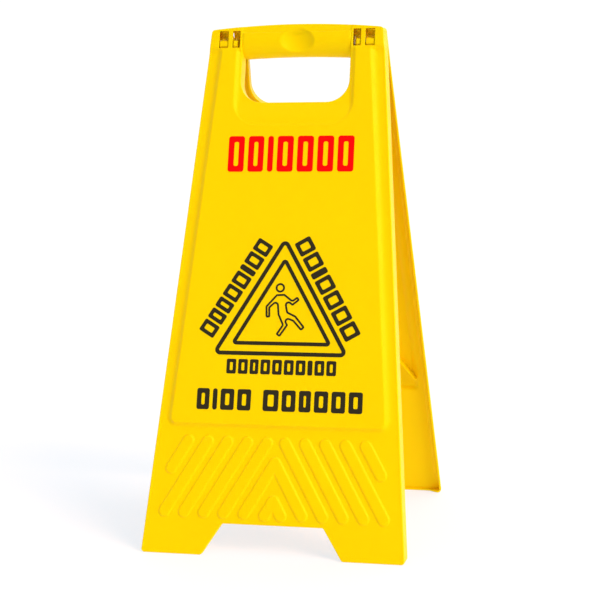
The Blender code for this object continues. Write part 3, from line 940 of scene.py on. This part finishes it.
def soft_prism(shell, outline, low, high, place, bevel):
    """A prism with bevelled ends. place(a, b, t) puts a point of the outline at t along the prism."""
    level = np.asarray(outline)
    slim = grown(outline, -bevel)
    rings = []
    for points, along in ((slim, low), (level, low + bevel), (level, high - bevel), (slim, high)):
        rings.append(shell.add([place(a, b, along) for a, b in points]))
    shell.tube(rings)


def lug_piece(name, matrix, foot, spans, knuckled):
    """The hinge lugs of one leaf: ribs from the back of the sheet to round eyes on the hinge axis.

    A knuckled lug also has a fin and a barrel, which fill the other leaf's window. The barrel starts above
    that leaf's wall, and its flat top clears that leaf's top edge when the sign is folded.
    """
    shell = Shell()
    centre = (PIVOT_UP, -PIVOT_BACK)
    eye = arc(centre, LUG_RADIUS, 0, 348.75, 31)
    inside_sheet = PANEL_RISE - SHEET / 2
    lug = hull(eye + [(foot[0], inside_sheet), (foot[1], inside_sheet)])
    fin = rounded([(*corner, FIN_CORNER) for corner in KNUCKLE_FIN])
    barrel = arc(centre, BARREL_FRONT, *BARREL_FRONT_ARC, 6)
    barrel += arc(centre, BARREL_RADIUS, *BARREL_BACK_ARC, 44)
    for near, far in spans:
        shapes = [(lug, near, far)]
        if knuckled:
            shapes += [(fin, near, far), (barrel, max(near, BARREL_ENDS[0]), min(far, BARREL_ENDS[1]))]
        for outline, low, high in shapes:
            for left, right in ((low, high), (-high, -low)):
                soft_prism(shell, outline, left, right, lambda up, out, across: (across, up, out), LUG_BEVEL)
    return shell.crisp(name, matrix)


def brace_piece(name, matrix):
    """The two crossed stiffening ribs behind the panel, thinner towards their free edge."""
    shell = Shell()
    for side in (1, -1):
        low = Vector((-side * BRACE_LOW_HALF, BRACE_CENTRE - BRACE_SLOPE * BRACE_LOW_HALF))
        high = Vector((side * BRACE_HIGH_HALF, BRACE_CENTRE + BRACE_SLOPE * BRACE_HIGH_HALF))
        along = (high - low).normalized()
        across = Vector((-along.y, along.x))
        section = rounded(
            [
                (-BRACE_ROOT_HALF, PANEL_RISE - SHEET / 2, 0),
                (-BRACE_EDGE_HALF, -BRACE_BACK, BRACE_EDGE_CORNER),
                (BRACE_EDGE_HALF, -BRACE_BACK, BRACE_EDGE_CORNER),
                (BRACE_ROOT_HALF, PANEL_RISE - SHEET / 2, 0),
            ],
            4,
        )
        rings = []
        for end in (low, high):
            rings.append(shell.add([(*(end + across * aside), out) for aside, out in section]))
        shell.tube(rings)
    return shell.crisp(name, matrix)


def pin_piece(name, matrix, lowest, highest):
    """A hinge pin turned round the hinge axis, with chamfered ends."""
    length = highest - lowest
    profile = list(PIN_CHAMFER) + [(length - along, radius) for along, radius in reversed(PIN_CHAMFER)]
    shell = Shell()
    rings = []
    for along, radius in profile:
        circle = arc((PIVOT_UP, -PIVOT_BACK), radius, 0, 352.5, 47)
        rings.append(shell.add([(lowest + along, up, out) for up, out in circle]))
    shell.tube(rings)
    return shell.crisp(name, matrix)


# Printed marks

def film(name, matrix, outlines, bands):
    """Ink on the panel: filled outlines, and bands between an outer and an inner outline."""
    low, high = PANEL_RISE - INK_HALF, PANEL_RISE + INK_HALF
    shell = Shell()
    for outline in outlines:
        rings = [shell.add([(x, s, n) for x, s in outline]) for n in (low, high)]
        shell.tube(rings)
    for outer, inner in bands:
        rings = []
        for outline, n in ((outer, low), (outer, high), (inner, high), (inner, low)):
            rings.append(shell.add([(x, s, n) for x, s in outline]))
        for first, last in zip(rings, rings[1:] + rings[:1]):
            shell.strip(first, last)
    return shell.crisp(name, matrix)


def blocks(start, end, height, widths, gap, stroke):
    """Rounded boxes in a row that fills the line from start to end, its middle. They stand in for words.

    It returns the filled outlines of the narrow ones and the bands of the wide ones, which are open inside.
    """
    start, end = Vector(start), Vector(end)
    along = (end - start).normalized()
    side = Vector((-along.y, along.x)) * height / 2
    unit = ((end - start).length - gap * (len(widths) - 1)) / sum(widths)
    filled, bands = [], []
    reached = 0.0
    for width in widths:
        near = start + along * reached
        far = near + along * width * unit
        corners = (near - side, far - side, far + side, near + side)
        outline = rounded([(*corner, BOX_CORNER * stroke) for corner in corners], 5)
        if width * unit > WIDEST_BAR * stroke:
            bands.append((outline, rounded_in(corners, stroke)))
        else:
            filled.append(outline)
        reached += width * unit + gap
    return filled, bands


def rounded_in(corners, stroke):
    """The inner outline of a box whose line is one stroke wide."""
    inner = grown([tuple(corner) for corner in corners], -stroke)
    return rounded([(*corner, BOX_INNER_CORNER * stroke) for corner in inner], 5)


def triangle_band(middle, apex, base, half, stroke, corner):
    """A triangle drawn as a line of even width with rounded corners."""
    corners = [(middle - half, base, corner), (middle + half, base, corner), (middle, apex, corner)]
    outside = rounded(corners, 8)
    return outside, [tuple(point) for point in grown(outside, -stroke)]


def mark_shapes():
    """For each printed mark of the CAD model: its piece's name, and its filled outlines and bands."""
    head = [arc(HEAD_CENTRE, HEAD_RADIUS - inset, 0, 350, 35) for inset in (0, FIGURE_LINE)]
    body = rounded([(x * MM, up * MM, FIGURE_CORNER) for x, up in FIGURE], 4)
    bottom = ([], [])
    for row in BOTTOM_LABEL:
        for whole, part in zip(bottom, blocks(*row)):
            whole.extend(part)
    return {
        "heading_bar": ("heading_marks", blocks(*HEADING)),
        "triangle_outer": ("outer_triangle", ([], [triangle_band(*OUTER_TRIANGLE)])),
        "triangle_inner": ("inner_triangle", ([], [triangle_band(*INNER_TRIANGLE)])),
        "figure_head": ("figure_head", ([], [head])),
        "figure_body": ("figure_body", ([], [(body, grown(body, -FIGURE_LINE))])),
        "left_label": ("left_marks", blocks(*LEFT_LABEL)),
        "right_label": ("right_marks", blocks(*RIGHT_LABEL)),
        "lower_label": ("lower_marks", blocks(*LOWER_LABEL)),
        "bottom_label": ("bottom_marks", bottom),
    }


def printed_marks(side, matrix, red, black):
    """The printed marks of one leaf."""
    for name, (shape, outlines) in mark_shapes().items():
        piece = film(f"{side}_{shape}", matrix, *outlines)
        is_red = name == "heading_bar"
        piece.data.materials.append(red if is_red else black)
        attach(piece, side)
        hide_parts(f"{side}_print_{name}")


# Materials

class Nodes:
    """Short calls that add and join shader nodes."""

    def __init__(self, owner, shader="Principled BSDF"):
        owner.use_nodes = True
        self.tree = owner.node_tree
        self.shader = self.tree.nodes[shader]

    def put(self, value, socket):
        """Joins another socket to a socket, or sets its value."""
        if isinstance(value, bpy.types.NodeSocket):
            self.tree.links.new(value, socket)
        else:
            socket.default_value = value

    def new(self, kind, inputs=(), **settings):
        node = self.tree.nodes.new(kind)
        for name, value in settings.items():
            setattr(node, name, value)
        for name, value in dict(inputs).items():
            self.put(value, node.inputs[name])
        return node

    def feed(self, name, value):
        self.put(value, self.shader.inputs[name])

    def noise(self, place, scale, detail=2.0, roughness=0.5):
        sizes = {"Vector": place, "Scale": scale, "Detail": detail, "Roughness": roughness}
        return self.new("ShaderNodeTexNoise", sizes).outputs["Fac"]

    def ranged(self, value, low, high, to_low, to_high):
        spans = {"Value": value, "From Min": low, "From Max": high, "To Min": to_low, "To Max": to_high}
        return self.new("ShaderNodeMapRange", spans).outputs["Result"]

    def mixed(self, share, first, second):
        return self.new("ShaderNodeMix", {0: share, 6: first, 7: second}, data_type="RGBA").outputs[2]

    def bumped(self, height, strength, distance, normal=None):
        inputs = {"Strength": strength, "Distance": distance, "Height": height}
        if normal:
            inputs["Normal"] = normal
        return self.new("ShaderNodeBump", inputs).outputs[0]


def shade(colour, factor):
    return (*[min(part * factor, 1.0) for part in colour], 1.0)


def plastic(name, colour):
    """Moulded plastic with a fine grain, slow waves of gloss and faint scuffs."""
    material = bpy.data.materials.new(name)
    nodes = Nodes(material)
    place = nodes.new("ShaderNodeTexCoord").outputs["Object"]
    broad = nodes.noise(place, 9.0, 3.0)
    grain = nodes.noise(place, 1900.0, 3.0, 0.6)
    waves = nodes.noise(place, 55.0, 2.0)
    scuff = nodes.noise(place, 240.0, 6.0, 0.7)
    worn = nodes.ranged(scuff, 0.60, 0.76, 0.0, 0.5)
    tone = nodes.mixed(nodes.ranged(broad, 0.3, 0.7, 0.0, 1.0), shade(colour, 0.985), shade(colour, 1.015))
    paler = (min(colour[0] * 1.02, 1), min(colour[1] * 1.05, 1), colour[2] + 0.015, 1.0)
    nodes.feed("Base Color", nodes.mixed(worn, tone, paler))
    rough = nodes.ranged(waves, 0.3, 0.7, 0.36, 0.46)
    total = nodes.new("ShaderNodeMath", {0: rough, 1: nodes.ranged(scuff, 0.5, 0.8, 0.0, 0.12)}).outputs[0]
    nodes.feed("Roughness", total)
    fine = nodes.bumped(grain, 0.10, 0.0003)
    nodes.feed("Normal", nodes.bumped(waves, 0.05, 0.004, fine))
    nodes.feed("Specular IOR Level", 0.3)
    nodes.feed("Specular Tint", (1.0, 0.85, 0.1, 1.0))
    nodes.feed("Subsurface Weight", 0.35)
    nodes.feed("Subsurface Radius", (1.0, 0.6, 0.05))
    nodes.feed("Subsurface Scale", 0.004)
    return material


def ink(name, colour):
    """Screen-printed ink: slightly uneven cover, with a fine tooth."""
    material = bpy.data.materials.new(name)
    nodes = Nodes(material)
    place = nodes.new("ShaderNodeTexCoord").outputs["Object"]
    broad = nodes.noise(place, 60.0, 4.0)
    tooth = nodes.noise(place, 1400.0, 3.0)
    nodes.feed("Base Color", nodes.mixed(broad, shade(colour, 0.93), shade(colour, 1.0)))
    nodes.feed("Roughness", nodes.ranged(tooth, 0.3, 0.7, 0.45, 0.6))
    nodes.feed("Normal", nodes.bumped(tooth, 0.12, 0.0001))
    nodes.feed("Specular IOR Level", 0.08)
    return material


# The setting

def sun_light(name, towards, angle, strength, gloss=True):
    """A distant, slightly warm soft light that shines from a direction. Its size is an angle in degrees."""
    data = bpy.data.lights.new(name, "SUN")
    data.angle = math.radians(angle)
    data.energy = strength
    data.color = (1.0, 0.90, 0.82)
    light = linked(name, data)
    light.rotation_euler = Vector(towards).to_track_quat("Z", "Y").to_euler()
    light.visible_glossy = gloss


def world_light(front, back):
    """A white surround that lights the sign less from in front. Seen directly or reflected, it is white."""
    world = bpy.data.worlds.new("surround")
    bpy.context.scene.world = world
    nodes = Nodes(world, "Background")
    place = nodes.new("ShaderNodeTexCoord").outputs["Generated"]
    along = nodes.new("ShaderNodeSeparateXYZ", {0: place}).outputs["Y"]
    brightest = nodes.ranged(along, -0.5, 0.5, front, back)
    path = nodes.new("ShaderNodeLightPath")
    for kind in ("Is Camera Ray", "Is Glossy Ray"):
        pair = {0: brightest, 1: path.outputs[kind]}
        brightest = nodes.new("ShaderNodeMath", pair, operation="MAXIMUM").outputs[0]
    nodes.feed("Strength", brightest)
    nodes.feed("Color", (1, 1, 1, 1))


def floor_piece():
    """A wide pale floor."""
    steps = 8
    size = 16.0
    places = [size * (i / steps - 0.5) for i in range(steps + 1)]
    points = [(x, y, 0) for y in places for x in places]
    row = steps + 1
    corners = [j * row + i for j in range(steps) for i in range(steps)]
    faces = [(corner, corner + 1, corner + row + 1, corner + row) for corner in corners]
    mesh = bpy.data.meshes.new("floor")
    mesh.from_pydata(points, [], faces)
    piece = linked("floor", mesh)
    material = bpy.data.materials.new("floor_white")
    nodes = Nodes(material)
    place = nodes.new("ShaderNodeTexCoord").outputs["Object"]
    broad = nodes.noise(place, 1.5)
    nodes.feed("Base Color", nodes.mixed(broad, shade(FLOOR_WHITE, 0.995), shade(FLOOR_WHITE, 1.005)))
    nodes.feed("Roughness", 0.8)
    nodes.feed("Specular IOR Level", 0.1)
    nodes.feed("Emission Color", (*FLOOR_GLOW, 1))
    nodes.feed("Emission Strength", 1.0)
    mesh.materials.append(material)


def camera():
    """The camera that took the photograph, as nearly as its view shows."""
    yaw, pitch, roll = CAMERA_TURNS
    ahead = Vector((-math.sin(yaw) * math.cos(pitch), math.cos(yaw) * math.cos(pitch), -math.sin(pitch)))
    level = Vector((math.cos(yaw), math.sin(yaw), 0))
    upright = level.cross(ahead)
    right = upright * math.sin(roll) + level * math.cos(roll)
    up = upright * math.cos(roll) - level * math.sin(roll)
    data = bpy.data.cameras.new("camera")
    data.lens = CAMERA_LENS
    data.sensor_width = 36
    data.clip_start = 0.05
    data.clip_end = 50
    thing = linked("camera", data)
    turned = Matrix((right, up, -ahead)).transposed().to_4x4()
    thing.matrix_world = Matrix.Translation(CAMERA_PLACE) @ turned
    bpy.context.scene.camera = thing


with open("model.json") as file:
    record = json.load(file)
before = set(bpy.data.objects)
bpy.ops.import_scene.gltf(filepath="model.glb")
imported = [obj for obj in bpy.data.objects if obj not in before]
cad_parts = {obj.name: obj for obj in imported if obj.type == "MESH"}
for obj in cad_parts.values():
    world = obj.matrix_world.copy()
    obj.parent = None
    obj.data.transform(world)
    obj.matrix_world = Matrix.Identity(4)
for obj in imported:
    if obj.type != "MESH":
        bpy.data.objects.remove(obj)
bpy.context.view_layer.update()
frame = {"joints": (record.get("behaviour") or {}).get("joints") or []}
hinge = frame["joints"][0]
LEAN = math.radians(hinge["range_deg"][1]) / 2

camera()
yellow = {side: plastic(side + "_yellow", YELLOW) for side in ("front", "rear")}
pin_yellow = plastic("pin_yellow", YELLOW)
red_ink = ink("red_ink", INK_RED)
black_ink = ink("black_ink", INK_BLACK)

for side, turn, lugs, foot, knuckled in (
    ("front", 0, FRONT_LUGS, FRONT_LUG_FOOT, False),
    ("rear", math.pi, REAR_LUGS, REAR_LUG_FOOT, True),
):
    stand = leaf_matrix(hinge, turn)
    for piece in (
        moulding(side + "_moulding", stand, LEAN),
        grip(side + "_grip", stand),
        brace_piece(side + "_brace", stand),
        lug_piece(side + "_lugs", stand, foot, lugs, knuckled),
    ):
        piece.data.materials.append(yellow[side])
        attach(piece, side)
        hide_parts(side + "_leaf")
    printed_marks(side, stand, red_ink, black_ink)

for side in ("left", "right"):
    node = "hinge_pin_" + side
    lowest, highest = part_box(node)
    piece = pin_piece(node + "_turned", leaf_matrix(hinge, 0), lowest[0], highest[0])
    piece.data.materials.append(pin_yellow)
    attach(piece, "front")
    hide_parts(node)

floor_piece()
world_light(0.20, 1.05)
sun_light("key", (0.696, -0.475, 0.538), 30, 1.97)
sun_light("fill", (0.25, -0.76, 0.60), 120, 0.70, gloss=False)
sun_light("top", (0.14, 0.21, 0.97), 60, 0.50)
bpy.context.scene.view_settings.view_transform = "Standard"
